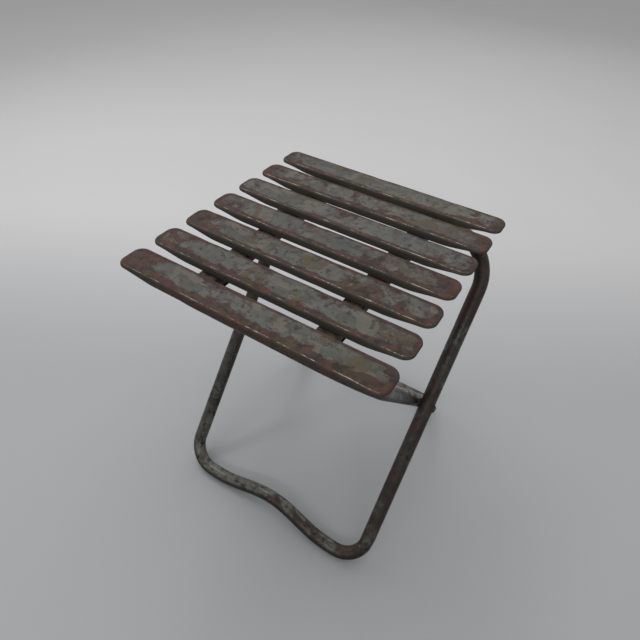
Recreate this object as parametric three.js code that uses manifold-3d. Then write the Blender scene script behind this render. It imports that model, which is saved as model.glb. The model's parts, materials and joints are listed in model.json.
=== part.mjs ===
// Folding camp stool with a slatted steel seat on two crossed frames of bent steel tube.
// Millimetres, +Z up. X runs along the slats, Y from the front of the stool to its back.
// The origin is on the floor, under the middle of the stool's box.
import * as THREE from 'three';
import { mergeVertices } from 'three/addons/utils/BufferGeometryUtils.js';
import Module from 'manifold-3d';

const wasm = await Module();
wasm.setup();

// ---- Driving dimensions ----
const GAP = 0.3;                          // left between pieces that touch

const SEAT_HEIGHT = 433;                  // floor to the top of the slats
const SEAT_Y = -21.5;                     // middle of the seat
const SLAT_COUNT = 7;
const SLAT_PITCH = 49;
const SLAT_LENGTH = 318;
const SLAT_WIDTH = 37;
const SLAT_CORNER = 12;                   // corner radius seen from above
const SLAT_SHEET = 1.5;
const SLAT_FOLD = 3;                      // outer radius of the fold into the flange
const SLAT_DEPTH = 9.6;                   // flange depth over the rails
const SLAT_END_RISE = 5.6;                // how far the flange's lower edge rises at the slat's ends
const SLAT_FLAT = 104;                    // half the length over which the flange keeps its full depth
const SLAT_RISEN = 152;                   // from the middle to where the flange is at its shallowest

const TUBE_RADIUS = 10;
const TUBE_WALL = 1.5;
const PIVOT_Y = 4.2;
const PIVOT_HEIGHT = 211;
const BAR_DROP = 37.6;                    // centre of each top bar below the seat's top
const FOOT_BEND = 40;
const TOP_BEND = 64;
const ARCH_HEIGHT = 15;                   // rise of the foot bar between its two feet
const OUTER = { half: 156, lean: -37.65, arch: 103 };
const INNER = { half: 133, lean: 40.7, arch: 84 };

const RAIL_X = 74;
const RAIL_WIDTH = 24;
const RAIL_SHEET = 2;
const RAIL_CORNER = 3;
const RAIL_FRONT = -150;                  // ends of the rails, from the middle of the seat
const RAIL_REAR = 172;

const STRAP_THICKNESS = 2.5;
const STRAP_CLEARANCE = 0.4;              // between a strap and the tube that it goes round
const STRAP_TAIL = 52;                    // from the tube's centre to the end of the flat tail
const STRAP_RIVETS = [22, 40];            // rivets in the tail, from the tube's centre
const HOOK_END = 175;                     // the front hook curls from 90 degrees, the top, to here
const HINGE_END = -195;                   // the hinge strap wraps from 90 degrees back and under to here

const SMALL_RIVET = { shank: 2.4, hole: 2.7, head: 4.6, rise: 2.2 };
const PIVOT_RIVET = { shank: 3.5, hole: 3.8, head: 5, rise: 2.4 };
const SPACER_RADIUS = 6.5;

// ---- Fineness of the curved faces ----
const TUBE_SIDES = 16;
const BORE_SIDES = 10;
const ROUND_SIDES = 16;
const SMALL_HOLE_SIDES = 12;
const ARCH_STEPS = 14;
const BEND_STEPS = 7;
const DOME_STEPS = 4;
const CORNER_STEPS = 5;
const EASE_STEPS = 5;
const FOLD_STEPS = 3;
const STRAP_STEP = 15;                    // degrees
const WELD_DISTANCE = 1e-4;               // points closer than this are one point

// ---- Materials ----
const paint = new THREE.MeshStandardMaterial({ color: 0x65655f, roughness: 0.62, metalness: 0.3 });
const tubePaint = new THREE.MeshStandardMaterial({ color: 0x45433d, roughness: 0.5, metalness: 0.35 });
const wornSteel = new THREE.MeshStandardMaterial({ color: 0x4a3d34, roughness: 0.6, metalness: 0.6 });

// ---- Solids ----
function solidOf(geometry) {
  const bare = geometry.clone();
  bare.deleteAttribute('normal');
  bare.deleteAttribute('uv');
  const merged = mergeVertices(bare, WELD_DISTANCE);
  return new wasm.Manifold(new wasm.Mesh({
    numProp: 3,
    vertProperties: new Float32Array(merged.attributes.position.array),
    triVerts: new Uint32Array(merged.index.array),
  }));
}

function geometryOf(solid) {
  const mesh = solid.getMesh();
  const geometry = new THREE.BufferGeometry();
  geometry.setAttribute('position', new THREE.BufferAttribute(mesh.vertProperties, 3));
  geometry.setIndex(new THREE.BufferAttribute(mesh.triVerts, 1));
  geometry.computeVertexNormals();
  return geometry;
}

function cut(geometry, ...tools) {
  return geometryOf(tools.reduce((body, tool) => body.subtract(solidOf(tool)), solidOf(geometry)));
}

function meshOf(name, geometry, material) {
  const mesh = new THREE.Mesh(geometry, material);
  mesh.name = name;
  return mesh;
}

// A surface through rings of points. With loop it closes on itself, otherwise its two ends are capped.
function skin(rings, loop) {
  const count = rings[0].length;
  const spans = loop ? rings.length : rings.length - 1;
  const faces = [];
  for (let i = 0; i < spans; i += 1) {
    const next = (i + 1) % rings.length;
    for (let j = 0; j < count; j += 1) {
      const k = (j + 1) % count;
      faces.push(i * count + j, i * count + k, next * count + k);
      faces.push(i * count + j, next * count + k, next * count + j);
    }
  }
  if (!loop) {
    const last = (rings.length - 1) * count;
    for (let j = 1; j < count - 1; j += 1) {
      faces.push(0, j + 1, j, last, last + j, last + j + 1);
    }
  }
  const geometry = new THREE.BufferGeometry();
  geometry.setAttribute('position', new THREE.Float32BufferAttribute(rings.flat(2), 3));
  geometry.setIndex(faces);
  return geometry;
}

function cylinderAlong(axis, radius, from, to, sides) {
  const cylinder = new THREE.CylinderGeometry(radius, radius, to - from, sides);
  cylinder.translate(0, (from + to) / 2, 0);
  if (axis === 'x') cylinder.rotateZ(-Math.PI / 2);
  if (axis === 'z') cylinder.rotateX(Math.PI / 2);
  return cylinder;
}

// ---- Crossed frames ----
// Each frame is one closed loop of tube, drawn in its own plane: x across, s up the legs from the pivot.
function frameLine({ half, lean, arch }) {
  const slope = Math.cos(THREE.MathUtils.degToRad(lean));
  const foot = -(PIVOT_HEIGHT - TUBE_RADIUS) / slope;
  const top = (SEAT_HEIGHT - BAR_DROP - PIVOT_HEIGHT) / slope;
  const line = [];
  for (let i = 0; i <= ARCH_STEPS; i += 1) {
    const x = arch * (2 * i / ARCH_STEPS - 1);
    const rise = ARCH_HEIGHT * (1 + Math.cos(Math.PI * x / arch)) / 2;
    const slant = -ARCH_HEIGHT * Math.PI / (2 * arch) * Math.sin(Math.PI * x / arch);
    line.push({ x, s: foot + rise, angle: Math.atan(slant) });
  }
  const bends = [
    { x: half - FOOT_BEND, s: foot + FOOT_BEND, radius: FOOT_BEND, start: -90 },
    { x: half - TOP_BEND, s: top - TOP_BEND, radius: TOP_BEND, start: 0 },
    { x: TOP_BEND - half, s: top - TOP_BEND, radius: TOP_BEND, start: 90 },
    { x: FOOT_BEND - half, s: foot + FOOT_BEND, radius: FOOT_BEND, start: 180 },
  ];
  for (const { x, s, radius, start } of bends) {
    for (let i = 0; i <= BEND_STEPS; i += 1) {
      const turn = THREE.MathUtils.degToRad(start + 90 * i / BEND_STEPS);
      const [across, up] = [radius * Math.cos(turn), radius * Math.sin(turn)];
      line.push({ x: x + across, s: s + up, angle: turn + Math.PI / 2 });
    }
  }
  return line;
}

function tubeAlong(line, radius, sides) {
  const rings = line.map(({ x, s, angle }) => {
    const ring = [];
    for (let j = 0; j < sides; j += 1) {
      const turn = 2 * Math.PI * (j + 0.5) / sides;
      const out = radius * Math.cos(turn);
      ring.push([x + out * Math.sin(angle), radius * Math.sin(turn), s - out * Math.cos(angle)]);
    }
    return ring;
  });
  return skin(rings, true);
}

function frameTube(shape) {
  const line = frameLine(shape);
  const side = shape.half + 2 * TUBE_RADIUS;
  const hole = cylinderAlong('x', PIVOT_RIVET.hole, -side, side, ROUND_SIDES);
  const tube = tubeAlong(line, TUBE_RADIUS, TUBE_SIDES);
  return cut(tube, tubeAlong(line, TUBE_RADIUS - TUBE_WALL, BORE_SIDES), hole);
}

function frameMesh(name, shape) {
  const mesh = meshOf(name, frameTube(shape), tubePaint);
  mesh.rotation.x = THREE.MathUtils.degToRad(shape.lean);
  mesh.position.set(0, PIVOT_Y, PIVOT_HEIGHT);
  return mesh;
}

// ---- Rivets and spacers ----
// A rivet along +X: a shank from start to end with a domed head beyond each of them.
function rivetGeometry({ shank, head, rise }, start, end) {
  const dome = (face, way) => {
    const points = [];
    for (let i = 0; i <= DOME_STEPS; i += 1) {
      const turn = Math.PI / 2 * i / DOME_STEPS;
      points.push(new THREE.Vector2(head * Math.cos(turn), face + way * rise * Math.sin(turn)));
    }
    points[DOME_STEPS].x = 0;
    return points;
  };
  const profile = [
    ...dome(start, -1).reverse(),
    new THREE.Vector2(shank, start),
    new THREE.Vector2(shank, end),
    ...dome(end, 1),
  ];
  return new THREE.LatheGeometry(profile, ROUND_SIDES).rotateZ(-Math.PI / 2);
}

function spacerGeometry(thickness) {
  const bore = PIVOT_RIVET.hole;
  const profile = [
    new THREE.Vector2(bore, 0),
    new THREE.Vector2(SPACER_RADIUS, 0),
    new THREE.Vector2(SPACER_RADIUS, thickness),
    new THREE.Vector2(bore, thickness),
    new THREE.Vector2(bore, 0),
  ];
  return new THREE.LatheGeometry(profile, ROUND_SIDES).rotateZ(-Math.PI / 2);
}

function pivotMeshes(side, sign) {
  const innerFace = INNER.half - TUBE_RADIUS - GAP;
  const outerFace = OUTER.half + TUBE_RADIUS + GAP;
  const spaceStart = INNER.half + TUBE_RADIUS + GAP;
  const spaceEnd = OUTER.half - TUBE_RADIUS - GAP;
  const rivet = meshOf(`${side}_pivot_rivet`, rivetGeometry(PIVOT_RIVET, innerFace, outerFace), wornSteel);
  const spacer = meshOf(`${side}_pivot_spacer`, spacerGeometry(spaceEnd - spaceStart), wornSteel);
  rivet.position.set(0, PIVOT_Y, PIVOT_HEIGHT);
  spacer.position.set(sign * spaceStart, PIVOT_Y, PIVOT_HEIGHT);
  if (sign < 0) {
    rivet.rotation.z = Math.PI;
    spacer.rotation.z = Math.PI;
  }
  return [rivet, spacer];
}

// ---- Seat slats ----
// A slat is pressed from sheet: a flat top, folded down all round into a flange, shallower at the ends.
function endEase(x) {
  return THREE.MathUtils.smoothstep(Math.abs(x), SLAT_FLAT, SLAT_RISEN);
}

// The slat's solid outline, smaller by inset on its sides, ends and top.
function slatSolid(inset, below) {
  const halfLength = SLAT_LENGTH / 2 - inset;
  const corner = SLAT_CORNER - inset;
  const fold = SLAT_FOLD - inset;
  const foldSteps = inset > 0 ? 1 : FOLD_STEPS;
  const stationsX = [];
  for (let i = 0; i <= CORNER_STEPS; i += 1) {
    stationsX.push(halfLength - corner * (1 - Math.cos(Math.PI / 2 * i / CORNER_STEPS)));
  }
  const straight = halfLength - corner;
  for (let i = 1; i <= EASE_STEPS; i += 1) {
    stationsX.push(straight + (SLAT_FLAT - straight) * i / EASE_STEPS);
  }
  const mirrored = stationsX.map((x) => -x);
  const rings = [...mirrored, ...stationsX.reverse()].map((x) => {
    const past = Math.max(0, Math.abs(x) - straight);
    const half = SLAT_WIDTH / 2 - inset - corner + Math.sqrt(Math.max(0, corner * corner - past * past));
    const pastFold = Math.max(0, Math.abs(x) - halfLength + fold);
    const endFall = fold - Math.sqrt(Math.max(0, fold * fold - pastFold * pastFold));
    const top = -inset - endFall;
    const bottom = -SLAT_DEPTH + SLAT_END_RISE * endEase(x) - below;
    const ring = [[x, half, bottom]];
    for (let i = 0; i <= foldSteps; i += 1) {
      const turn = Math.PI / 2 * i / foldSteps;
      ring.push([x, half - fold * (1 - Math.cos(turn)), top - fold * (1 - Math.sin(turn))]);
    }
    const back = ring.map(([px, py, pz]) => [px, -py, pz]).reverse();
    return [...ring, ...back];
  });
  return skin(rings, false);
}

function slatMeshes() {
  const margin = 2;
  const geometry = cut(slatSolid(0, 0), slatSolid(SLAT_SHEET, margin));
  const slats = [];
  for (let i = 0; i < SLAT_COUNT; i += 1) {
    const slat = meshOf(`slat_${i + 1}`, geometry, paint);
    slat.position.y = SLAT_PITCH * (i - (SLAT_COUNT - 1) / 2);
    slats.push(slat);
  }
  return slats;
}

// ---- Seat rails, straps and their rivets ----
const legRise = SEAT_HEIGHT - BAR_DROP - PIVOT_HEIGHT;
const barY = ({ lean }) => PIVOT_Y - SEAT_Y - legRise * Math.tan(THREE.MathUtils.degToRad(lean));
const strapInner = TUBE_RADIUS + STRAP_CLEARANCE;
const strapOuter = strapInner + STRAP_THICKNESS;
const railTop = -SLAT_DEPTH - GAP;
const railBottom = -BAR_DROP + strapOuter + GAP;

// A rounded rectangle across the rail, smaller by inset on every side.
function railOutline(PathKind, inset) {
  const half = RAIL_WIDTH / 2 - inset;
  const corner = RAIL_CORNER - inset;
  const [low, high] = [railBottom + inset, railTop - inset];
  const outline = new PathKind();
  const quarter = Math.PI / 2;
  outline.moveTo(half, low + corner);
  outline.absarc(half - corner, high - corner, corner, 0, quarter, false);
  outline.absarc(corner - half, high - corner, corner, quarter, 2 * quarter, false);
  outline.absarc(corner - half, low + corner, corner, 2 * quarter, 3 * quarter, false);
  outline.absarc(half - corner, low + corner, corner, 3 * quarter, 4 * quarter, false);
  return outline;
}

// A rectangular tube whose flat top carries the slats, with rivet holes through its lower wall.
function railGeometry(rivetPlaces) {
  const shape = railOutline(THREE.Shape, 0);
  shape.holes.push(railOutline(THREE.Path, RAIL_SHEET));
  const length = RAIL_REAR - RAIL_FRONT;
  const bar = new THREE.ExtrudeGeometry(shape, { depth: length, bevelEnabled: false, curveSegments: 3 });
  bar.rotateX(Math.PI / 2);
  bar.translate(0, RAIL_REAR, 0);
  const holes = rivetPlaces.map((y) => {
    const [low, high] = [railBottom - RAIL_SHEET, railBottom + 2 * RAIL_SHEET];
    const hole = cylinderAlong('z', SMALL_RIVET.hole, low, high, SMALL_HOLE_SIDES);
    return hole.translate(0, y, 0);
  });
  return cut(bar, ...holes);
}

// A strap bent round a top bar, with a flat tail along the rail. way is +1 for a tail towards the back.
function strapGeometry(centreY, way, endAngle) {
  const arcSteps = Math.ceil(Math.abs(endAngle - 90) / STRAP_STEP);
  const outline = (radius, reverse) => {
    const points = [];
    for (let i = 0; i <= arcSteps; i += 1) {
      const turn = THREE.MathUtils.degToRad(90 + (endAngle - 90) * i / arcSteps);
      points.push([radius * Math.cos(turn), radius * Math.sin(turn)]);
    }
    return reverse ? points.reverse() : points;
  };
  const tail = way * STRAP_TAIL;
  const curl = [...outline(strapOuter, false), ...outline(strapInner, true)];
  const points = [[tail, strapOuter], ...curl, [tail, strapInner]];
  const shape = new THREE.Shape(points.map(([y, z]) => new THREE.Vector2(y, z)));
  const strap = new THREE.ExtrudeGeometry(shape, { depth: RAIL_WIDTH, bevelEnabled: false });
  strap.rotateX(Math.PI / 2).rotateZ(Math.PI / 2);
  strap.translate(-RAIL_WIDTH / 2, centreY, -BAR_DROP);
  const holes = STRAP_RIVETS.map((place) => {
    const low = strapInner - STRAP_THICKNESS - BAR_DROP;
    const high = strapOuter + STRAP_THICKNESS - BAR_DROP;
    const hole = cylinderAlong('z', SMALL_RIVET.hole, low, high, SMALL_HOLE_SIDES);
    return hole.translate(0, centreY + way * place, 0);
  });
  return cut(strap, ...holes);
}

function railMeshes(side, sign) {
  const ends = [
    { strap: 'front_hook', rivet: 'hook', y: barY(INNER), way: 1, endAngle: HOOK_END },
    { strap: 'hinge_strap', rivet: 'hinge', y: barY(OUTER), way: -1, endAngle: HINGE_END },
  ];
  const rivetPlaces = ends.flatMap(({ y, way }) => STRAP_RIVETS.map((place) => y + way * place));
  const meshes = [meshOf(`${side}_seat_rail`, railGeometry(rivetPlaces), paint)];
  const low = strapInner - BAR_DROP - GAP;
  const high = railBottom + RAIL_SHEET + GAP;
  const rivetShape = rivetGeometry(SMALL_RIVET, low, high).rotateY(-Math.PI / 2);
  for (const { strap, rivet, y, way, endAngle } of ends) {
    meshes.push(meshOf(`${side}_${strap}`, strapGeometry(y, way, endAngle), wornSteel));
    STRAP_RIVETS.forEach((place, i) => {
      const mesh = meshOf(`${side}_${rivet}_rivet_${i + 1}`, rivetShape, wornSteel);
      mesh.position.y = y + way * place;
      meshes.push(mesh);
    });
  }
  for (const mesh of meshes) mesh.position.x = sign * RAIL_X;
  return meshes;
}

// ---- The stool ----
const seat = new THREE.Group();
seat.position.set(0, SEAT_Y, SEAT_HEIGHT);
seat.add(...slatMeshes(), ...railMeshes('left', -1), ...railMeshes('right', 1));

const stool = new THREE.Group();
stool.add(frameMesh('outer_frame_tube', OUTER), frameMesh('inner_frame_tube', INNER));
stool.add(...pivotMeshes('left', -1), ...pivotMeshes('right', 1));
stool.add(seat);

export default stool;
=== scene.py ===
"""Looks of the folding camp stool: pressed steel slats on two crossed frames of bent steel tube.

Metres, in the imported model's frame: X along the slats, Y from front to back, +Z up. Sizes that
the frame doesn't hold repeat those of the CAD model.
"""

import json
import math

import bmesh
import bpy
from mathutils import Matrix, Vector, noise


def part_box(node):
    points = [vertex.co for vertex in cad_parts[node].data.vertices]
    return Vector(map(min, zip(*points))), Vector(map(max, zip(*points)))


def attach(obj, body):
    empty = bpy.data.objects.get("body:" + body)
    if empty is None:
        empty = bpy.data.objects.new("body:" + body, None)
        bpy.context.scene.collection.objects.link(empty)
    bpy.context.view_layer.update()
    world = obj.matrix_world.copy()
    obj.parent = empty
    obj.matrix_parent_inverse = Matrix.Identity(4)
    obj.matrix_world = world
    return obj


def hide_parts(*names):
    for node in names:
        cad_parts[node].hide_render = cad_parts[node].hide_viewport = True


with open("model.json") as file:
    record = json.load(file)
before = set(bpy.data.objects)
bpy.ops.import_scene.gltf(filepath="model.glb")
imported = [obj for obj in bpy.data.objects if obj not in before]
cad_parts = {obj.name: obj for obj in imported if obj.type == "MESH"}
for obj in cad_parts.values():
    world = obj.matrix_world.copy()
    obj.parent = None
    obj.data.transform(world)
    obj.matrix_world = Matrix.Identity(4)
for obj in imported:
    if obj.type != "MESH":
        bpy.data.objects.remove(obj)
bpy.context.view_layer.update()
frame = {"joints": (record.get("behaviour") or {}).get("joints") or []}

MM = 0.001
SIDES = ("left", "right")
SHARP = math.radians(50)          # a fold steeper than this is a sharp edge

# ---- Slats, the front one first ----
SLAT_CORNER = 12 * MM
SLAT_FOLD = 2.9 * MM              # outside radius of the fold between top and flange
SLAT_SHEET = 1.5 * MM
FOLD_THINNING = 0.3 * MM          # how much thinner the sheet gets in the fold
SLAT_END_RISE = 5.6 * MM
SLAT_FLAT = 104 * MM              # half the length over which the flange keeps its full depth
SLAT_RISEN = 152 * MM             # from the middle to where the flange is at its shallowest
SLAT_LIP = 0.35 * MM              # rounding of the flange's lower edge
SLAT_WAVE = 0.25 * MM             # how unevenly the flanges were folded
SLAT_SAG = 0.35 * MM              # slow waves pressed into the sheet
SLAT_DENT = 1.3 * MM              # scale of its soft dents
TIP_BAND = 75 * MM                # how far in from the ends the paint is worn
RIM_BAND = 5                      # rust along the other folds, in mm
RIM_RUST, FRONT_RIM_RUST = 0.7, 0.5
SLAT_FRONT_BANDS = (17, 9, 7, 8, 6, 8, 6)             # rust along the front fold of each slat, in mm
SLAT_TIP_WEAR = (0.65, 0.4, 0.45, 0.7, 0.4, 0.7, 0.6)
SLAT_WEAR = (0.1, 0.04, 0.04, -0.02, -0.04, 0.1, 0.04)
UNDERSIDE_RUST = 0.35
FRONT_SLAT_PAINTED_SHADE = 0.45                 # how much of the painted shade on its sides the front slat keeps, so that its rust shows
REAR_FOLD_WEAR_AND_HIGHLIGHT = 0.75             # how strong the rubbed folds, partly a painted highlight, are away from the front, where it is 1
RUBBED_AND_HIGHLIT_FOLD, RUBBED_AND_HIGHLIT_FOLD_BAND = 72, 24    # where the fold is rubbed and carries a painted highlight, in degrees from flange to top
SHADED_FOLD, SHADE_GAIN = 84, 3.5     # where the flange's painted shade ends in the fold, and how steeply it fades

# ---- Tube frames ----
CAD_TUBE = 10 * MM                # the CAD radius, which stands on the floor and carries the straps
TUBE = 9.95 * MM                  # the drawn radius, a little inside it
BEND_PINCH = 0.035                # how much a bend narrows the tube
TUBE_DENT = 0.18 * MM
DUST_HEIGHT = 30 * MM             # dust lies this far up from the floor,
DUST_FADE = 60 * MM               # and fades over this much more
FOOT_BEND = 40 * MM
TOP_BEND = 64 * MM
ARCH = 15 * MM
# half and arch are half widths, lean is in degrees. wear is added rust above the pivot, brown_leg
# added rust on the lower right leg.
OUTER = {
    "node": "outer_frame_tube", "half": 156 * MM, "lean": -37.65, "arch": 103 * MM,
    "wear": 0.3, "brown_leg": 0.4,
}
INNER = {
    "node": "inner_frame_tube", "half": 133 * MM, "lean": 40.7, "arch": 84 * MM,
    "wear": -0.05, "brown_leg": 0.0,
}
PIVOT = Vector(frame["joints"][0]["pos_m"])
BAR_HEIGHT = frame["joints"][1]["pos_m"][2]

# ---- Rails, straps and rivets ----
RAIL_SHEET = 2 * MM
RAIL_CORNER = 3 * MM
RAIL_LIP = 0.3 * MM
RAIL_DENT = 0.3 * MM
STRAP = 2.5 * MM
STRAP_CLEARANCE = 0.4 * MM
STRAP_CORNER = 4 * MM             # rounding of the tail's corners, seen from above
STRAP_RUST = 0.55
HOOK_END = 175                    # where each curl ends, in degrees counted up from the back
HINGE_END = -195
EDGE_ROUNDING = 0.35 * MM
HEAD_RIM = 0.25 * MM              # rounding of a rivet head's rim
RIVET_RUST = 0.5
SPACER_RUST = 0.6


# ---------------------------------------------------------------- meshes
def mesh_object(name, points, faces, material, traits, weld=0, rounding=0):
    """A closed, smooth-shaded piece.

    traits are named numbers, one for each point, that its material reads.
    """
    mesh = bpy.data.meshes.new(name)
    mesh.from_pydata([tuple(p) for p in points], [], faces)
    for trait, values in traits.items():
        mesh.attributes.new(trait, "FLOAT", "POINT").data.foreach_set("value", values)
    body = bmesh.new()
    body.from_mesh(mesh)
    if weld:
        bmesh.ops.remove_doubles(body, verts=body.verts, dist=weld)
    bmesh.ops.recalc_face_normals(body, faces=body.faces)
    if rounding:
        sharp = [e for e in body.edges if e.is_manifold and e.calc_face_angle() > SHARP]
        bmesh.ops.bevel(body, geom=sharp, offset=rounding, segments=2, profile=0.5, affect="EDGES")
    body.to_mesh(mesh)
    body.free()
    mesh.materials.append(material)
    mesh.shade_smooth()
    mesh.set_sharp_from_angle(angle=SHARP)
    piece = bpy.data.objects.new(name, mesh)
    bpy.context.scene.collection.objects.link(piece)
    return piece


def stand_for(piece, node, body):
    """piece rides on body and is shown in place of the CAD node."""
    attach(piece, body)
    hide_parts(node)


def link_rings(rings, loop=False):
    """Faces between neighbouring closed rings, each a list of point numbers."""
    faces = []
    pairs = zip(rings, rings[1:] + rings[:1]) if loop else zip(rings, rings[1:])
    for low, high in pairs:
        for j in range(len(low)):
            k = (j + 1) % len(low)
            faces.append((low[j], low[k], high[k], high[j]))
    return faces


def same_traits(points, rust, side):
    """The same rust and the same share of painted shade (side) at every point, and no rubbed crest."""
    count = len(points)
    return {"rust": [rust] * count, "crest": [0.0] * count, "side": [side] * count}


def ramp_down(value, band):
    """1 at zero, falling to 0 at band."""
    return max(0.0, 1.0 - value / band)


def ripple(x, y, seed):
    """A random wave between 0 and 1 over the plane."""
    return 0.5 + 0.5 * noise.noise(Vector((x, y, seed)))


def turns(sides):
    """The angles of a ring's points."""
    return [2 * math.pi * j / sides for j in range(sides)]


def rounded_outline(straight_x, straight_y, corner_steps, run_steps):
    """Round a rectangle: for each point, its corner centre or run point and its outward normal.

    straight_x and straight_y reach from the middle to the corner centres. run_steps are for the
    runs along x and along y.
    """
    signs = ((1, 1), (-1, 1), (-1, -1), (1, -1))
    outline = []
    for quarter, (sx, sy) in enumerate(signs):
        centre = Vector((sx * straight_x, sy * straight_y))
        for step in range(corner_steps + 1):
            turn = math.radians(90 * (quarter + step / corner_steps))
            outline.append((centre, Vector((math.cos(turn), math.sin(turn)))))
        nx, ny = signs[(quarter + 1) % 4]
        following = Vector((nx * straight_x, ny * straight_y))
        steps = run_steps[quarter % 2]
        normal = outline[-1][1]
        for step in range(1, steps):
            outline.append((centre.lerp(following, step / steps), normal))
    return outline


# ---------------------------------------------------------------- slats
def press_marks(x, y, seed):
    """How far the sheet is pushed in at a place: slow waves and a few soft dents."""
    dent_seed, dent_limit = 4.7, 0.25
    dent = noise.noise(Vector((x * 38 + seed, y * 50, dent_seed)))
    return SLAT_SAG * ripple(x * 14, y * 30, seed) + SLAT_DENT * max(0.0, dent - dent_limit)


def end_rise(x):
    """How much higher the flange's lower edge is at x than in the middle."""
    along = min(1.0, max(0.0, (abs(x) - SLAT_FLAT) / (SLAT_RISEN - SLAT_FLAT)))
    return SLAT_END_RISE * along * along * (3 - 2 * along)


def build_slat(number, node, material):
    """A pressed slat in closed rings: the underside, round the flange's lower edge, and the top."""
    low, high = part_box(node)
    middle = (low + high) / 2
    half_x, half_y = (high.x - low.x) / 2, (high.y - low.y) / 2
    depth = high.z - low.z
    corner_steps, run_steps = 8, (64, 5)
    outline = rounded_outline(half_x - SLAT_CORNER, half_y - SLAT_CORNER, corner_steps, run_steps)
    spine = half_x - half_y
    own = (SLAT_WEAR, SLAT_TIP_WEAR, SLAT_FRONT_BANDS)
    wear, tip_wear, front_band = (each[number - 1] for each in own)
    # side, times this share, lays painted shade on the underside and the flanges; the front slat gets less
    painted_shade_share = FRONT_SLAT_PAINTED_SHADE if number == 1 else 1.0
    wave_seed, press_seed = number * 3.1, number * 7.3
    points, rings = [], []
    traits = {"rust": [], "crest": [], "side": []}

    def rust_at(x, from_rim, at_front):
        rim = ramp_down(from_rim, (RIM_BAND + (front_band - RIM_BAND) * at_front) * MM)
        tip = ramp_down(half_x - abs(x), TIP_BAND)
        return (RIM_RUST + FRONT_RIM_RUST * at_front) * rim * rim + tip_wear * tip * tip + wear

    def add_ring(inset, drop, share=0, to_spine=0, crest=0, side=0, under=False):
        """A ring at a drop from the top, or a share of the way from there to the flange's edge."""
        ring = []
        for base, normal in outline:
            wave = SLAT_WAVE * ripple(base.x * 45, base.y * 45, wave_seed)
            flat = base + normal * (SLAT_CORNER - inset - wave)
            target = Vector((max(-spine, min(spine, flat.x)), 0.0))
            flat = flat.lerp(target, to_spine)
            bottom = -depth + end_rise(flat.x) + 2 * wave
            z = bottom * share - drop * (1 - share)
            z -= press_marks(flat.x, flat.y, press_seed) * (1 - share)
            at_front = max(0.0, -normal.y)
            rust = rust_at(flat.x, (half_y - SLAT_FOLD) * to_spine, at_front)
            ring.append(len(points))
            points.append((flat.x, middle.y + flat.y, high.z + z))
            traits["rust"].append(UNDERSIDE_RUST if under else rust)
            traits["crest"].append(crest * (REAR_FOLD_WEAR_AND_HIGHLIGHT + (1 - REAR_FOLD_WEAR_AND_HIGHLIGHT) * at_front))
            # side: painted shade, full on the underside
            traits["side"].append(1.0 if under else side * painted_shade_share)
        rings.append(ring)

    spine_steps = (1.0, 0.8, 0.6, 0.42, 0.28, 0.17, 0.09, 0.04)
    fold_steps, flange_steps = 8, 4
    lip_wear, flange_wear, flange_end = 0.4, 0.15, 0.96
    inner_fold = SLAT_FOLD - SLAT_SHEET + FOLD_THINNING
    for part in spine_steps:
        add_ring(SLAT_SHEET + inner_fold, SLAT_SHEET, to_spine=part, under=True)
    for step in range(fold_steps):
        turn = math.pi / 2 * (1 - step / fold_steps)
        inset = SLAT_SHEET + inner_fold * (1 - math.cos(turn))
        add_ring(inset, SLAT_SHEET + inner_fold * (1 - math.sin(turn)), under=True)
    for step in range(flange_steps):
        add_ring(SLAT_SHEET, SLAT_SHEET + inner_fold, share=step / flange_steps, under=True)
    add_ring(SLAT_SHEET, 0, share=1, crest=lip_wear / 2, under=True)
    add_ring(SLAT_SHEET - SLAT_LIP, 0, share=1, crest=lip_wear, side=1)
    add_ring(SLAT_LIP, 0, share=1, crest=lip_wear, side=1)
    for step in range(flange_steps):
        share = flange_end * (1 - step / flange_steps)
        add_ring(0, SLAT_FOLD, share=share, crest=flange_wear if step == 0 else 0, side=1)
    for step in range(fold_steps + 1):
        turn = math.pi / 2 * step / fold_steps
        inset = SLAT_FOLD * (1 - math.cos(turn))
        # crest: the rubbed fold, partly a painted highlight along it; side: painted shade fading up the
        # fold
        crest = ramp_down(abs(math.degrees(turn) - RUBBED_AND_HIGHLIT_FOLD), RUBBED_AND_HIGHLIT_FOLD_BAND)
        side = min(1.0, SHADE_GAIN * ramp_down(math.degrees(turn), SHADED_FOLD))
        add_ring(inset, SLAT_FOLD * (1 - math.sin(turn)), crest=crest, side=side)
    for part in reversed(spine_steps):
        add_ring(SLAT_FOLD, 0, to_spine=part)
    piece = mesh_object(f"{node}_pressed", points, link_rings(rings), material, traits, weld=1e-6)
    stand_for(piece, node, "seat")


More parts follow.
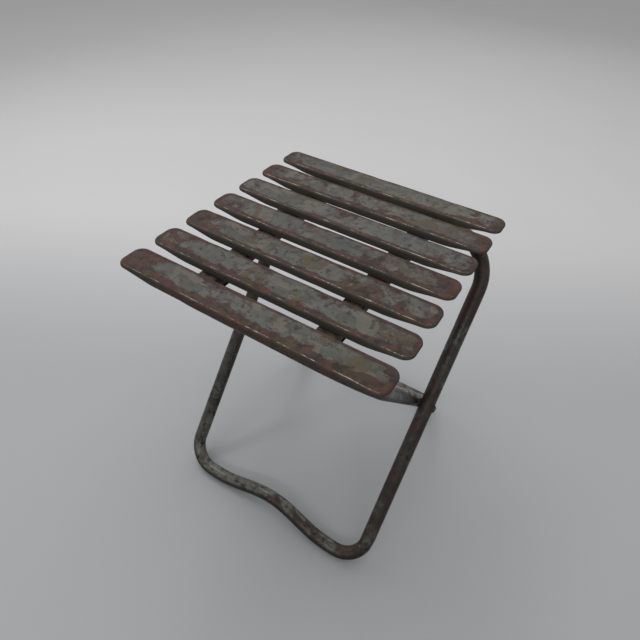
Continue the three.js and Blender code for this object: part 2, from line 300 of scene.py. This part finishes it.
# ---------------------------------------------------------------- tube frames
def frame_line(shape):
    """The loop's centre line in its own plane: x across and s up along the legs from the pivot."""
    slope = math.cos(math.radians(shape["lean"]))
    foot = -(PIVOT.z - CAD_TUBE) / slope
    top = (BAR_HEIGHT - PIVOT.z) / slope
    half, arch = shape["half"], shape["arch"]
    arch_steps, bend_steps, run_step = 56, 24, 5 * MM
    line = []
    for i in range(arch_steps + 1):
        x = arch * (2 * i / arch_steps - 1)
        line.append(Vector((x, foot + ARCH * (1 + math.cos(math.pi * x / arch)) / 2)))
    bends = (
        (half - FOOT_BEND, foot + FOOT_BEND, FOOT_BEND, -90),
        (half - TOP_BEND, top - TOP_BEND, TOP_BEND, 0),
        (TOP_BEND - half, top - TOP_BEND, TOP_BEND, 90),
        (FOOT_BEND - half, foot + FOOT_BEND, FOOT_BEND, 180),
    )
    for x, s, radius, start in bends:
        arc = []
        for i in range(bend_steps + 1):
            turn = math.radians(start + 90 * i / bend_steps)
            arc.append(Vector((x + radius * math.cos(turn), s + radius * math.sin(turn))))
        runs = max(1, round((arc[0] - line[-1]).length / run_step))
        line += [line[-1].lerp(arc[0], i / runs) for i in range(1, runs)]
        line += arc
    runs = max(1, round((line[0] - line[-1]).length / run_step))
    line += [line[-1].lerp(line[0], i / runs) for i in range(1, runs)]
    return line


def tube_rust(shape, x, z, bend, near_floor):
    """More rust in the bends, by the pivot and where shape says so. z is counted from the pivot."""
    in_bends, at_pivot, at_floor = 0.1, 0.25, -0.15
    rust = in_bends * bend + at_pivot * ramp_down(abs(z), 30 * MM)
    rust += shape["wear"] * min(1.0, max(0.0, z) / (60 * MM))
    rust += at_floor * near_floor
    if x > 0:
        rust += shape["brown_leg"] * ramp_down(abs(z + 75 * MM), 90 * MM)
    return rust


def painted_low_front_shade(facing_back, facing_up):
    """1 on the side that faces the front and the floor, where the tube is darkest: painted shade."""
    front_gain, low_gain, limit = 2.8, 2.1, 0.65
    return min(1.0, max(0.0, -front_gain * facing_back - low_gain * facing_up - limit))


def build_frame(name, shape, body, material):
    """A slightly dented tube along the frame's line, pinched a little in its bends."""
    line = frame_line(shape)
    lean = math.radians(shape["lean"])
    sides, bend_wear = 40, 0.5
    points, rings = [], []
    traits = {"rust": [], "crest": [], "side": [], "dust": []}
    for i, centre in enumerate(line):
        before, after = line[i - 1], line[(i + 1) % len(line)]
        tangent = (after - before).normalized()
        out = Vector((tangent.y, -tangent.x))
        curvature = (after - centre).angle(centre - before, 0.0) / max((after - centre).length, 1e-6)
        bend = min(1.0, curvature * FOOT_BEND)
        ring = []
        for turn in turns(sides):
            across, normal = math.cos(turn), math.sin(turn)
            reach = TUBE * (1 - BEND_PINCH * bend * across * across)
            flat = centre + out * (reach * across)
            mark = TUBE_DENT * max(0.0, noise.noise(Vector((flat.x * 40, flat.y * 40, normal * 2))))
            flat -= out * (mark * across)
            thick = (reach - mark) * normal
            y = thick * math.cos(lean) - flat.y * math.sin(lean)
            z = thick * math.sin(lean) + flat.y * math.cos(lean)
            ring.append(len(points))
            points.append((flat.x, PIVOT.y + y, PIVOT.z + z))
            facing_back = normal * math.cos(lean) - across * out.y * math.sin(lean)
            facing_up = normal * math.sin(lean) + across * out.y * math.cos(lean)
            near_floor = ramp_down(max(0.0, PIVOT.z + z - DUST_HEIGHT), DUST_FADE)
            traits["rust"].append(tube_rust(shape, flat.x, z, bend, near_floor))
            traits["crest"].append(bend_wear * bend * max(0.0, across) ** 3)
            # side: painted shade on the lower front
            traits["side"].append(painted_low_front_shade(facing_back, facing_up))
            traits["dust"].append(near_floor)
        rings.append(ring)
    piece = mesh_object(name, points, link_rings(rings, loop=True), material, traits)
    stand_for(piece, shape["node"], body)


# ---------------------------------------------------------------- turned pieces
def turned(name, rings, material, node, body):
    """A closed solid from rings of points. Its first and last ring are single points."""
    points, numbers, faces = [], [], []
    for ring in rings:
        numbers.append(list(range(len(points), len(points) + len(ring))))
        points += ring
    for low, high in zip(numbers, numbers[1:]):
        sides = max(len(low), len(high))
        for j in range(sides):
            k = (j + 1) % sides
            corners = [low[j % len(low)], low[k % len(low)], high[k % len(high)], high[j % len(high)]]
            faces.append(tuple(dict.fromkeys(corners)))
    piece = mesh_object(name, points, faces, material, same_traits(points, RIVET_RUST, 0.0))
    stand_for(piece, node, body)


def dome(head, rise):
    """Radius and height of a hammered rivet head from its rim to its crown."""
    steps, flatness = 7, 0.85
    profile = [(head - HEAD_RIM, 0.0), (head, HEAD_RIM)]
    for i in range(1, steps):
        turn = math.pi / 2 * i / steps
        height = HEAD_RIM + (rise - HEAD_RIM) * math.sin(turn)
        profile.append((head * math.cos(turn) ** flatness, height))
    return profile


def small_rivet(node, material):
    """A rivet with a dome at both ends of an upright shank."""
    low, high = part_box(node)
    centre = (low + high) / 2
    head = (high.x - low.x) / 2
    rise, shank, sides = 2.2 * MM, 2.4 * MM, 28

    def ring(radius, z):
        places = [(radius * math.cos(t), radius * math.sin(t)) for t in turns(sides)]
        return [(centre.x + x, centre.y + y, z) for x, y in places]

    rings = [[(centre.x, centre.y, low.z)]]
    rings += [ring(r, low.z + rise - h) for r, h in reversed(dome(head, rise))]
    rings += [ring(shank, low.z + rise), ring(shank, high.z - rise)]
    rings += [ring(r, high.z - rise + h) for r, h in dome(head, rise)]
    rings.append([(centre.x, centre.y, high.z)])
    turned(f"{node}_domed", rings, material, node, "seat")


def pivot_rivet(side, material):
    """The outer head is hammered down round the outer tube, the inner head is an even dome."""
    node = f"{side}_pivot_rivet"
    low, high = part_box(node)
    sign = 1 if side == "right" else -1
    near, far = (low.x, high.x) if sign > 0 else (-high.x, -low.x)
    head, rise, shank, sides = (high.z - low.z) / 2, 2.4 * MM, 3.5 * MM, 40
    sunk, throat, edge = 0.2 * MM, 0.3 * MM, 0.1 * MM
    skirt_height, crown = 0.7 * MM, 0.99
    lean = math.radians(OUTER["lean"])
    along = Vector((-math.sin(lean), math.cos(lean)))

    def ring(radius, x):
        places = [(radius * math.cos(t), radius * math.sin(t)) for t in turns(sides)]
        return [(sign * x, PIVOT.y + y, PIVOT.z + z) for y, z in places]

    def ring_on_tube(radius, height):
        """A ring that follows the outer tube's round side at a height above it."""
        made = []
        for _, y, z in ring(radius, 0.0):
            off = (y - PIVOT.y) * along.y - (z - PIVOT.z) * along.x
            x = OUTER["half"] + math.sqrt(TUBE * TUBE - off * off) - sunk + height
            made.append((sign * x, y, z))
        return made

    rings = [[(sign * near, PIVOT.y, PIVOT.z)]]
    rings += [ring(r, near + rise - h) for r, h in reversed(dome(head, rise))]
    rings += [ring(shank, near + rise), ring(shank, OUTER["half"] + TUBE - throat)]
    rings += [ring_on_tube(shank + sunk, 0.0), ring_on_tube(head - edge, 0.0)]
    rings += [ring_on_tube(head, skirt_height)]
    above_rim = dome(head, rise)[2:]
    rings += [ring(r * crown, far - rise + h) for r, h in above_rim]
    rings.append([(sign * far, PIVOT.y, PIVOT.z)])
    turned(f"{node}_hammered", rings, material, node, "outer_frame")


def pivot_spacer(side, material):
    """A washer between the two frames."""
    node = f"{side}_pivot_spacer"
    low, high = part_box(node)
    radius, bore, edge, sides = (high.y - low.y) / 2, 3.65 * MM, 0.4 * MM, 40
    profile = (
        (bore, low.x), (radius - edge, low.x), (radius, low.x + edge),
        (radius, high.x - edge), (radius - edge, high.x), (bore, high.x),
    )
    points, rings = [], []
    for r, x in profile:
        rings.append(list(range(len(points), len(points) + sides)))
        points += [(x, PIVOT.y + r * math.cos(t), PIVOT.z + r * math.sin(t)) for t in turns(sides)]
    # Half the painted shade all over the washer.
    traits = same_traits(points, SPACER_RUST, 0.5)
    piece = mesh_object(f"{node}_washer", points, link_rings(rings, loop=True), material, traits)
    stand_for(piece, node, "outer_frame")


# ---------------------------------------------------------------- bent sheet pieces
def bent_strap(name, chain, stations, place, material):
    """A folded strip. chain is its outer face as (point, inward normal), stations run across it."""
    width, length = len(stations), len(chain)
    points = []
    for inward in (0, STRAP):
        for i, (point, normal) in enumerate(chain):
            points += [place(point + normal * inward, station, i) for station in stations]

    def number(i, j, layer):
        return (layer * length + i) * width + j

    faces = []
    for i in range(length - 1):
        for j in range(width - 1):
            quad = [(i, j), (i, j + 1), (i + 1, j + 1), (i + 1, j)]
            faces.append(tuple(number(a, b, 0) for a, b in quad))
            faces.append(tuple(number(a, b, 1) for a, b in reversed(quad)))
    for i in range(length - 1):
        for j, flip in ((0, False), (width - 1, True)):
            quad = [number(i, j, 0), number(i + 1, j, 0), number(i + 1, j, 1), number(i, j, 1)]
            faces.append(tuple(reversed(quad) if flip else quad))
    for j in range(width - 1):
        for i, flip in ((0, True), (length - 1, False)):
            quad = [number(i, j, 0), number(i, j + 1, 0), number(i, j + 1, 1), number(i, j, 1)]
            faces.append(tuple(reversed(quad) if flip else quad))
    # Half the painted shade all over the strap.
    traits = same_traits(points, STRAP_RUST, 0.5)
    return mesh_object(name, points, faces, material, traits, rounding=EDGE_ROUNDING)


def build_rail(side, material):
    """A rectangular tube with rounded corners whose flat top carries the slats."""
    node = f"{side}_seat_rail"
    low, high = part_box(node)
    centre, middle_z = (low.x + high.x) / 2, (low.z + high.z) / 2
    half_x, half_z = (high.x - low.x) / 2, (high.z - low.z) / 2
    corner_steps, run_steps, slices = 6, (5, 5), 60
    outline = rounded_outline(half_x - RAIL_CORNER, half_z - RAIL_CORNER, corner_steps, run_steps)
    length = high.y - low.y
    outer = [(0.0, RAIL_LIP), (RAIL_LIP, 0.0)]
    outer += [(length * i / slices, 0.0) for i in range(1, slices)]
    outer += [(length - RAIL_LIP, 0.0), (length, RAIL_LIP)]
    inner = [(length, RAIL_SHEET), (0.0, RAIL_SHEET)]
    points, rings, rust = [], [], []
    for along, inset in outer + inner:
        y = low.y + along
        ring = []
        for hub, normal in outline:
            flat = hub + normal * (RAIL_CORNER - inset)
            dent = RAIL_DENT * ripple(y * 25, flat.x * 40, centre)
            flat.x -= dent * normal.x
            ring.append(len(points))
            points.append((centre + flat.x, y, middle_z + flat.y - dent * max(0.0, normal.y)))
            rust.append(0.25 + 0.3 * ramp_down(min(along, length - along), 20 * MM))
        rings.append(ring)
    traits = same_traits(points, 0.0, 0.0)
    traits["rust"] = rust
    piece = mesh_object(f"{node}_tube", points, link_rings(rings, loop=True), material, traits)
    stand_for(piece, node, "seat")


def bar_place(shape):
    """Where the top bar of a frame runs: its y and z."""
    rise = BAR_HEIGHT - PIVOT.z
    return Vector((PIVOT.y - rise * math.tan(math.radians(shape["lean"])), BAR_HEIGHT))


def build_strap(node, bar, way, end_angle, material):
    """A strap bent round a top bar, its flat tail along the rail. way is +1 for a tail to the back."""
    low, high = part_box(node)
    centre, half = (low.x + high.x) / 2, (high.x - low.x) / 2
    radius = CAD_TUBE + STRAP_CLEARANCE + STRAP
    tail = (high.y - bar.x) if way > 0 else (bar.x - low.y)
    tail_steps, arc_step, across_steps = 14, 7, 10
    within_corner = 0.4 * STRAP_CORNER
    chain, from_end = [], []
    for i in range(tail_steps):
        run = tail - within_corner if i == 1 else tail * (1 - i / tail_steps)
        chain.append((Vector((way * run, radius)), Vector((0, -1))))
        from_end.append(tail - run)
    arc_steps = math.ceil(abs(end_angle - 90) / arc_step)
    for i in range(arc_steps + 1):
        turn = math.radians(90 + (end_angle - 90) * i / arc_steps)
        normal = Vector((math.cos(turn), math.sin(turn)))
        chain.append((normal * radius, -normal))
        from_end.append(tail)
    stations = [2 * j / across_steps - 1 for j in range(across_steps + 1)]

    def place(point, share, i):
        """share runs from -1 to 1 across the strap, which is narrower at its rounded end."""
        short = max(0.0, STRAP_CORNER - from_end[i])
        cut = STRAP_CORNER - math.sqrt(STRAP_CORNER * STRAP_CORNER - short * short)
        return (centre + share * (half - cut), bar.x + point.x, bar.y + point.y)

    piece = bent_strap(f"{node}_bent", chain, stations, place, material)
    stand_for(piece, node, "seat")


# ---------------------------------------------------------------- materials
class Shader:
    """A node material made from short calls, each giving back an output socket."""

    def __init__(self, name):
        self.material = bpy.data.materials.new(name)
        self.material.use_nodes = True
        self.nodes = self.material.node_tree.nodes
        self.links = self.material.node_tree.links
        self.surface = self.nodes["Principled BSDF"]
        self.place = self.node("ShaderNodeTexCoord").outputs["Object"]

    def feed(self, socket, value):
        """Link value to socket, or set it there when it is a constant."""
        if isinstance(value, bpy.types.NodeSocket):
            self.links.new(value, socket)
        else:
            socket.default_value = value

    def node(self, kind, inputs=None, **settings):
        made = self.nodes.new(kind)
        for key, value in settings.items():
            setattr(made, key, value)
        for key, value in (inputs or {}).items():
            self.feed(made.inputs[key], value)
        return made

    def stretched(self, scale):
        return self.node("ShaderNodeMapping", {"Vector": self.place, "Scale": scale}).outputs["Vector"]

    def cloud(self, scale, detail=4.0, roughness=0.55, distortion=0.0, vector=None):
        inputs = {
            "Vector": vector or self.place, "Scale": scale, "Detail": detail,
            "Roughness": roughness, "Distortion": distortion,
        }
        return self.node("ShaderNodeTexNoise", inputs).outputs["Fac"]

    def trait(self, name):
        return self.node("ShaderNodeAttribute", attribute_name=name).outputs["Fac"]

    def calculate(self, operation, a, b=0.0):
        return self.node("ShaderNodeMath", {0: a, 1: b}, operation=operation).outputs[0]

    def times(self, a, b):
        return self.calculate("MULTIPLY", a, b)

    def total(self, *terms):
        """The sum of terms, each a socket and its weight."""
        result = 0.0
        for socket, weight in terms:
            added = self.node("ShaderNodeMath", {0: socket, 1: weight, 2: result}, operation="MULTIPLY_ADD")
            result = added.outputs[0]
        return result

    def step(self, value, low, high):
        """0 at low and 1 at high, with a smooth slope between."""
        inputs = {"Value": value, "From Min": low, "From Max": high}
        return self.node("ShaderNodeMapRange", inputs, interpolation_type="SMOOTHSTEP").outputs["Result"]

    def mix(self, share, a, b):
        return self.node("ShaderNodeMix", {0: share, 6: a, 7: b}, data_type="RGBA").outputs[2]

    def cover(self, below, above, where, strength):
        """above laid over below where a mask is 1, and strength says how thickly."""
        return self.mix(self.times(where, strength), below, above)

    def between(self, share, a, b):
        """The number that lies share of the way from a to b."""
        inputs = {"Value": share, "To Min": a, "To Max": b}
        return self.node("ShaderNodeMapRange", inputs).outputs["Result"]

    def bump(self, height, distance, strength=1.0, normal=None):
        inputs = {"Height": height, "Distance": distance, "Strength": strength}
        if normal:
            inputs["Normal"] = normal
        return self.node("ShaderNodeBump", inputs).outputs["Normal"]

    def finish(self, colour, roughness, metallic, normal, specular):
        inputs = {
            "Base Color": colour, "Roughness": roughness, "Metallic": metallic,
            "Normal": normal, "Specular IOR Level": specular,
        }
        for key, value in inputs.items():
            self.feed(self.surface.inputs[key], value)
        return self.material


def colour(red, green, blue):
    """A display colour, 0 to 255, as the linear one that a shader takes."""
    def linear(value):
        value /= 255
        return value / 12.92 if value <= 0.04045 else ((value + 0.055) / 1.055) ** 2.4
    return (linear(red), linear(green), linear(blue), 1.0)


def worn_paint(name, paints, rusts, patch, worn, amounts):
    """Old paint on steel: patched, flaked down to rust, chipped, scratched, and rubbed on its folds.

    paints are two main tones, a stain and the painted shade tone of the sides. rusts are brown,
    red-brown, olive and dark. patch is the tone of the larger patches, worn that of dust, scratches
    and rubbed metal, which on the slats' folds is partly a painted highlight. amounts hold noise
    scales (patch, broad, flake), limits above which a mark shows (patch_limit, limit, chip, bare)
    and strengths (bias of the rust trait, painted shade of the sides, rough).
    """
    s = Shader(name)
    stain, painted_shade_tone = paints[2:]
    brown, red_brown, olive_tone, dark = rusts
    rust_bias, crest, side = s.trait("rust"), s.trait("crest"), s.trait("side")
    fine = s.cloud(scale=380.0, detail=5.0, roughness=0.7)
    grit = s.cloud(scale=1500.0, detail=2.0)
    mottle = s.cloud(scale=95.0, detail=6.0, roughness=0.66)
    blotch = s.cloud(scale=62.0, detail=6.0, roughness=0.7)

    # Paint in two tones, with stains, patches, dark borders round them, olive areas and dust.
    tones = s.step(s.cloud(scale=26.0, detail=5.0, roughness=0.6), 0.4, 0.6)
    paint = s.mix(tones, paints[0], paints[1])
    paint = s.cover(paint, stain, s.step(mottle, 0.47, 0.66), 0.7)
    patch_field = s.cloud(amounts["patch"], detail=7.0, roughness=0.6, distortion=0.7)
    patch_limit = amounts["patch_limit"]
    patches = s.step(patch_field, patch_limit, patch_limit + 0.02)
    paint = s.cover(paint, patch, patches, 0.75)
    from_border = s.calculate("ABSOLUTE", s.calculate("SUBTRACT", patch_field, patch_limit))
    borders = s.times(s.step(from_border, 0.02, 0.0), s.step(blotch, 0.44, 0.56))
    paint = s.cover(paint, dark, borders, 0.8)
    olive_field = s.cloud(amounts["patch"] * 0.8, detail=7.0, roughness=0.62, distortion=1.1)
    olive = s.step(s.total((olive_field, 1.0), (rust_bias, 0.07)), 0.565, 0.595)
    paint = s.cover(paint, olive_tone, olive, 0.8)
    dust_field = s.cloud(scale=150.0, detail=6.0, roughness=0.7)
    dust = s.times(s.trait("dust"), s.step(dust_field, 0.3, 0.62))
    paint = s.cover(paint, worn, dust, 0.5)

    # Rust, mottled, and where it shows through the flaked paint with a stained halo round it.
    old = s.mix(s.step(blotch, 0.46, 0.58), brown, red_brown)
    old = s.cover(old, olive_tone, s.step(s.cloud(scale=105.0, detail=5.0), 0.52, 0.64), 0.8)
    old = s.cover(old, dark, s.step(mottle, 0.5, 0.62), 0.75)
    old = s.cover(old, dark, s.step(fine, 0.56, 0.66), 0.5)
    flakes = s.cloud(amounts["flake"], detail=8.0, roughness=0.64, distortion=0.9)
    broad = s.cloud(amounts["broad"], detail=3.0, roughness=0.5)
    rust_field = s.total((flakes, 0.62), (broad, 0.62), (fine, 0.08), (rust_bias, amounts["bias"]))
    limit = amounts["limit"]
    rust = s.step(rust_field, limit, limit + 0.03)
    halo = s.times(s.step(rust_field, limit - 0.07, limit), s.step(mottle, 0.4, 0.56))
    paint = s.cover(paint, brown, halo, 0.6)
    surface = s.cover(paint, old, rust, 0.92)

    # Dark chips, the painted shade of the sides, long scratches and rubbed folds, partly a painted
    # highlight, on top of both.
    chip_field = s.cloud(scale=115.0, detail=4.0, roughness=0.55)
    chips = s.step(chip_field, amounts["chip"], amounts["chip"] + 0.05)
    surface = s.cover(surface, dark, chips, 0.85)
    surface = s.cover(surface, painted_shade_tone, side, amounts["shade"])
    long_marks = s.cloud(scale=1.0, detail=3.0, vector=s.stretched((30.0, 900.0, 900.0)))
    scratches = s.times(s.step(long_marks, 0.66, 0.7), s.step(s.cloud(scale=20.0), 0.45, 0.6))
    surface = s.cover(surface, worn, scratches, 0.35)
    rub_field = s.cloud(scale=55.0, detail=5.0, roughness=0.65)
    bare_field = s.total((crest, 1.0), (fine, 0.5), (rub_field, 0.9))
    bare = s.step(bare_field, amounts["bare"], amounts["bare"] + 0.2)
    surface = s.cover(surface, worn, bare, 0.8)

    rough = s.total((mottle, 0.3), (grit, 0.12), (rust, 0.15), (side, 0.12))
    rough = s.calculate("ADD", rough, amounts["rough"])
    rubbed_rough = 0.38
    rough = s.mix(bare, rough, (rubbed_rough, rubbed_rough, rubbed_rough, 1.0))
    height = s.total((rust, -0.5), (chips, -0.4), (bare, -0.3), (scratches, -0.25), (grit, 0.08))
    height = s.calculate("ADD", height, s.times(rust, s.times(fine, 0.9)))
    height = s.calculate("ADD", height, s.times(patches, -0.25))
    normal = s.bump(height, 0.16 * MM)
    waves = s.cloud(scale=45.0, detail=2.0)
    normal = s.bump(waves, 0.5 * MM, strength=0.5, normal=normal)
    return s.finish(surface, rough, s.times(bare, 0.5), normal, specular=0.32)


def slat_material():
    # The last paint is the painted shade tone of the flanges and the underside.
    paints = (colour(57, 57, 51), colour(69, 70, 64), colour(45, 41, 33), colour(56, 54, 47))
    rusts = (colour(44, 28, 22), colour(62, 32, 23), colour(58, 47, 23), colour(24, 18, 15))
    amounts = {
        "patch": 30.0, "patch_limit": 0.53, "broad": 13.0, "flake": 42.0, "bias": 0.34, "limit": 0.77,
        "chip": 0.6, "shade": 0.75, "bare": 1.41, "rough": 0.36,
    }
    return worn_paint("slat_paint_worn", paints, rusts, colour(78, 74, 64), colour(144, 134, 120), amounts)


def tube_material():
    # The last paint is the near-black painted shade of the tubes' lower front.
    paints = (colour(46, 47, 41), colour(74, 77, 70), colour(32, 28, 23), colour(18, 16, 14))
    rusts = (colour(38, 27, 21), colour(57, 32, 22), colour(48, 44, 30), colour(20, 16, 13))
    amounts = {
        "patch": 38.0, "patch_limit": 0.55, "broad": 16.0, "flake": 45.0, "bias": 0.3, "limit": 0.67,
        "chip": 0.565, "shade": 0.92, "bare": 1.6, "rough": 0.06,
    }
    return worn_paint("tube_paint_worn", paints, rusts, colour(50, 42, 34), colour(108, 104, 96), amounts)


def steel_material():
    # The last paint is the painted shade tone, laid at half share on the straps and spacers.
    paints = (colour(40, 37, 33), colour(48, 46, 41), colour(33, 29, 26), colour(24, 21, 19))
    rusts = (colour(40, 32, 27), colour(48, 34, 28), colour(38, 34, 27), colour(24, 20, 18))
    amounts = {
        "patch": 60.0, "patch_limit": 0.55, "broad": 30.0, "flake": 120.0, "bias": 0.3, "limit": 0.8,
        "chip": 0.66, "shade": 0.4, "bare": 1.6, "rough": 0.3,
    }
    return worn_paint("worn_steel_dark", paints, rusts, colour(44, 37, 31), colour(100, 95, 87), amounts)


def floor_material():
    """Pale and matt, getting lighter behind the stool."""
    s = Shader("floor_pale")
    mottle = s.cloud(scale=3.0, detail=4.0)
    split = s.node("ShaderNodeSeparateXYZ", {"Vector": s.place})
    behind = s.total((split.outputs["X"], -0.5), (split.outputs["Y"], 0.87))
    tone = s.mix(s.step(behind, 0.1, 0.75), colour(152, 154, 155), colour(184, 183, 183))
    tone = s.cover(tone, colour(140, 142, 142), mottle, 0.12)
    rough = s.between(s.cloud(scale=40.0), 0.75, 0.9)
    normal = s.bump(s.cloud(scale=300.0, detail=3.0), 0.1 * MM, strength=0.3)
    return s.finish(tone, rough, 0.0, normal, specular=0.2)


# ---------------------------------------------------------------- stage
def build_floor(material):
    """A wide flat floor at zero height."""
    reach = 6.0
    corners = [(-reach, -reach, 0), (reach, -reach, 0), (reach, reach, 0), (-reach, reach, 0)]
    mesh = bpy.data.meshes.new("floor")
    mesh.from_pydata(corners, [], [(0, 1, 2, 3)])
    mesh.materials.append(material)
    floor = bpy.data.objects.new("floor", mesh)
    bpy.context.scene.collection.objects.link(floor)


def area_light(name, place, size, power):
    """A rectangular lamp that is turned to the middle of the stool."""
    light = bpy.data.lights.new(name, "AREA")
    light.shape = "RECTANGLE"
    light.size, light.size_y = size
    light.energy = power
    holder = bpy.data.objects.new(name, light)
    holder.location = place
    middle = Vector((0.0, 0.0, 0.25))
    holder.rotation_euler = (middle - Vector(place)).to_track_quat("-Z", "Y").to_euler()
    bpy.context.scene.collection.objects.link(holder)


def build_lights():
    """A soft room: the ceiling, a pale wall behind, a window, and a thin bright strip in front."""
    world = bpy.data.worlds.new("soft_daylight")
    world.use_nodes = True
    background = world.node_tree.nodes["Background"]
    background.inputs["Color"].default_value = (0.98, 0.98, 1.0, 1.0)
    background.inputs["Strength"].default_value = 0.6
    bpy.context.scene.world = world
    area_light("ceiling", place=(-0.2, 0.4, 2.3), size=(2.0, 2.0), power=20.0)
    area_light("ceiling_lamp", place=(-0.95, 0.3, 2.3), size=(1.3, 0.25), power=9.0)
    area_light("wall_behind", place=(-0.3, 2.4, 1.7), size=(2.4, 1.6), power=9.0)
    area_light("window_left", place=(-1.7, 0.2, 1.2), size=(1.4, 1.0), power=5.0)
    area_light("window_front", place=(0.35, -1.7, 1.4), size=(2.6, 0.1), power=9.0)


def build_camera():
    """The photo's camera, worked out from its straight edges: front right, above, a little askew."""
    azimuth, elevation, roll = (math.radians(v) for v in (30.32, 43.40, 3.22))
    ahead = Vector((
        -math.sin(azimuth) * math.cos(elevation),
        math.cos(azimuth) * math.cos(elevation),
        -math.sin(elevation),
    ))
    level = Vector((math.cos(azimuth), math.sin(azimuth), 0.0))
    right = level * math.cos(roll) + level.cross(ahead) * math.sin(roll)
    up = right.cross(ahead)
    data = bpy.data.cameras.new("camera")
    data.sensor_width = 36.0
    data.lens = 28.43
    camera = bpy.data.objects.new("camera", data)
    camera.rotation_mode = "QUATERNION"
    camera.rotation_quaternion = Matrix((right, up, -ahead)).transposed().to_quaternion()
    camera.location = (0.23947, -0.43718, 0.75972)
    bpy.context.scene.collection.objects.link(camera)
    bpy.context.scene.camera = camera


# ---------------------------------------------------------------- the stool
slat_paint, tube_paint, steel = slat_material(), tube_material(), steel_material()
for number in range(1, len(SLAT_WEAR) + 1):
    build_slat(number, f"slat_{number}", slat_paint)
build_frame("outer_frame_bent_tube", OUTER, "outer_frame", tube_paint)
build_frame("inner_frame_bent_tube", INNER, "inner_frame", tube_paint)

for side in SIDES:
    build_rail(side, slat_paint)
    build_strap(f"{side}_front_hook", bar_place(INNER), 1, HOOK_END, steel)
    build_strap(f"{side}_hinge_strap", bar_place(OUTER), -1, HINGE_END, steel)
    for place in ("hook", "hinge"):
        for number in (1, 2):
            small_rivet(f"{side}_{place}_rivet_{number}", steel)
    pivot_rivet(side, steel)
    pivot_spacer(side, steel)

build_floor(floor_material())
build_lights()
build_camera()
bpy.context.scene.view_settings.view_transform = "Standard"
